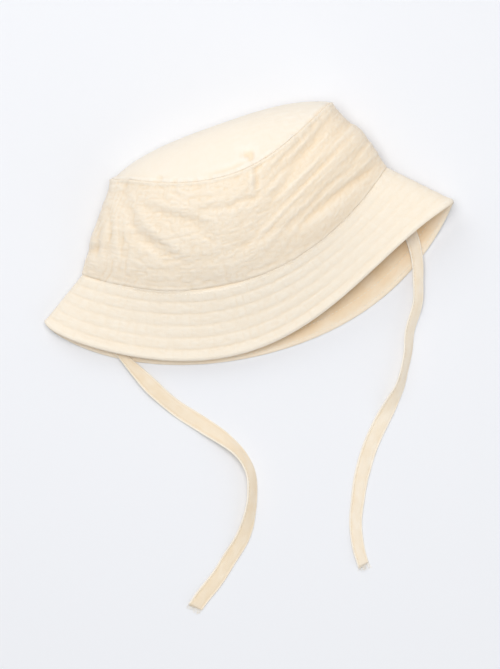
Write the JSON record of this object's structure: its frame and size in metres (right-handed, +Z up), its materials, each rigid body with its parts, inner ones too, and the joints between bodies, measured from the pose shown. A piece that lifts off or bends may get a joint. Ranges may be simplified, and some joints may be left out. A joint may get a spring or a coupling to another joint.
{
  "type": "bucket hat",
  "caption": "Child's soft cotton bucket hat with a flat gathered crown, a topstitched sloping brim and flat chin ties, lying on its side.",
  "frame": {"origin": "on the table, under the middle of the hat without its ties", "axes": "+X across the hat along its brim, +Y from the brim towards the crown's tip, +Z up from the table the hat lies on"},
  "size_m": [0.312, 0.3378, 0.07],
  "materials": {
    "shell_cloth": "crinkled cream cotton double gauze, matt",
    "lining_cloth": "smooth cream cotton, matt",
    "interlining": "off-white cotton interlining, matt",
    "tie_cloth": "folded cream cotton strip, edge stitched, matt",
    "thread": "cream sewing thread"
  },
  "bodies": {
    "hat": {"crown_tip": "shell_cloth", "crown_tip_lining": "lining_cloth", "band_front": "shell_cloth", "band_back": "shell_cloth", "band_lining_front": "lining_cloth", "band_lining_back": "lining_cloth", "brim_top_front": "shell_cloth", "brim_top_back": "shell_cloth", "brim_interlining_front": "interlining", "brim_interlining_back": "interlining", "brim_facing_front": "lining_cloth", "brim_facing_back": "lining_cloth", "tie_left_tack": "thread", "tie_right_tack": "thread"},
    "tie_left": {"tie_left": "tie_cloth"},
    "tie_right": {"tie_right": "tie_cloth"}
  },
  "joints": [
    {"name": "tie_left_swing", "type": "hinge", "parent": "hat", "child": "tie_left", "pos_m": [-0.107, 0.009, 0.00946], "axis": [0, 0, 1], "range_deg": [-8, 8]},
    {"name": "tie_right_swing", "type": "hinge", "parent": "hat", "child": "tie_right", "pos_m": [0.107, 0.009, 0.01108], "axis": [0, 0, 1], "range_deg": [-8, 8]}
  ]
}
